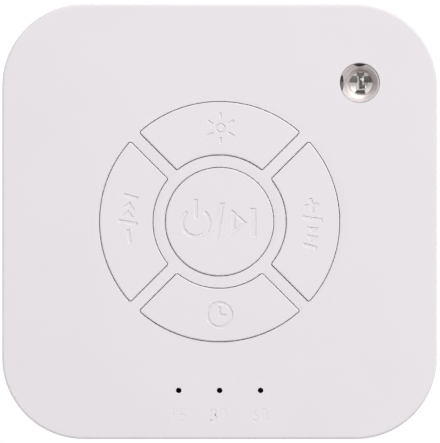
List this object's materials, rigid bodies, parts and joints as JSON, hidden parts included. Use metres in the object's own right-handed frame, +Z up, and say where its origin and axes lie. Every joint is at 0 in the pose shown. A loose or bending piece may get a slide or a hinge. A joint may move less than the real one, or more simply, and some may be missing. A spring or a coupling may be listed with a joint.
{
  "type": "white noise sound machine",
  "caption": "Rounded-square table-top sound machine with a ring of keys round a power key, a night light, timer lamps and a down-facing loudspeaker.",
  "frame": {"origin": "on the surface that the feet stand on, below the middle of the housing", "axes": "+Z up, keys on top; +Y to the back, where the sockets are; +X to the right as the keys are read"},
  "size_m": [0.094, 0.094, 0.0504],
  "materials": {
    "housing": "fine satin",
    "keycap": "fine satin",
    "silicone": "translucent",
    "board": "white solder mask",
    "gold": "plated",
    "steel": "zinc plated",
    "tinned": "tinned",
    "clear_epoxy": "clear",
    "light_cup": "glossy",
    "lamp": "glossy",
    "black_foam": "closed cell foam",
    "chip": "moulded epoxy",
    "components": "mixed",
    "black_plastic": "satin",
    "cell_foil": "laminated foil",
    "white_nylon": "satin",
    "red_wire": "satin",
    "black_wire": "satin",
    "speaker_steel": "black",
    "ferrite": "ground",
    "cone_paper": "pressed",
    "copper": "enamelled",
    "surround_rubber": "satin",
    "spider_cloth": "impregnated",
    "phenolic": "phenolic paper",
    "screen_cloth": "woven",
    "foot_rubber": "satin"
  },
  "bodies": {
    "housing": {"top_shell": "housing", "base_cover": "housing", "keypad_mat": "silicone", "power_dome": "silicone", "light_dome": "silicone", "timer_dome": "silicone", "previous_dome": "silicone", "next_dome": "silicone", "key_contacts": "gold", "main_board": "board", "board_screws": "steel", "light_cup": "light_cup", "light_lens": "clear_epoxy", "light_leads": "tinned", "timer_lamps": "lamp", "timer_baffle": "black_foam", "sound_chip": "chip", "memory_chip": "chip", "amplifier_chip": "chip", "board_components": "components", "usb_socket": "tinned", "usb_tongue": "black_plastic", "headphone_jack": "black_plastic", "jack_terminals": "tinned", "battery_cell": "cell_foil", "battery_tape": "black_foam", "lead_sockets": "white_nylon", "battery_plug": "white_nylon", "speaker_plug": "white_nylon", "battery_lead_red": "red_wire", "battery_lead_black": "black_wire", "speaker_lead_red": "red_wire", "speaker_lead_black": "black_wire", "speaker_frame": "speaker_steel", "speaker_front_plate": "steel", "speaker_magnet": "ferrite", "speaker_yoke": "steel", "surround": "surround_rubber", "spider": "spider_cloth", "speaker_terminals": "phenolic", "speaker_gasket": "black_foam", "dust_screen": "screen_cloth", "speaker_screws": "steel", "housing_screws": "steel", "front_left_foot": "foot_rubber", "front_right_foot": "foot_rubber", "rear_left_foot": "foot_rubber", "rear_right_foot": "foot_rubber"},
    "power_button": {"power_key": "keycap"},
    "light_button": {"light_key": "keycap"},
    "timer_button": {"timer_key": "keycap"},
    "previous_button": {"previous_key": "keycap"},
    "next_button": {"next_key": "keycap"},
    "speaker_driver": {"speaker_cone": "cone_paper", "dust_cap": "cone_paper", "voice_coil": "copper"}
  },
  "joints": [
    {"name": "power_press", "type": "slide", "parent": "housing", "child": "power_button", "axis": [0, 0, -1], "range_m": [0, 0.0007], "stiffness_N_per_m": 1200, "springref_m": -0.0002, "deforming": ["power_dome"]},
    {"name": "light_press", "type": "slide", "parent": "housing", "child": "light_button", "axis": [0, 0, -1], "range_m": [0, 0.0007], "stiffness_N_per_m": 1200, "springref_m": -0.0002, "deforming": ["light_dome"]},
    {"name": "timer_press", "type": "slide", "parent": "housing", "child": "timer_button", "axis": [0, 0, -1], "range_m": [0, 0.0007], "stiffness_N_per_m": 1200, "springref_m": -0.0002, "deforming": ["timer_dome"]},
    {"name": "previous_press", "type": "slide", "parent": "housing", "child": "previous_button", "axis": [0, 0, -1], "range_m": [0, 0.0007], "stiffness_N_per_m": 1200, "springref_m": -0.0002, "deforming": ["previous_dome"]},
    {"name": "next_press", "type": "slide", "parent": "housing", "child": "next_button", "axis": [0, 0, -1], "range_m": [0, 0.0007], "stiffness_N_per_m": 1200, "springref_m": -0.0002, "deforming": ["next_dome"]},
    {"name": "cone_excursion", "type": "slide", "parent": "housing", "child": "speaker_driver", "axis": [0, 0, 1], "range_m": [-0.0012, 0.0012], "stiffness_N_per_m": 1500, "deforming": ["surround", "spider"]}
  ]
}
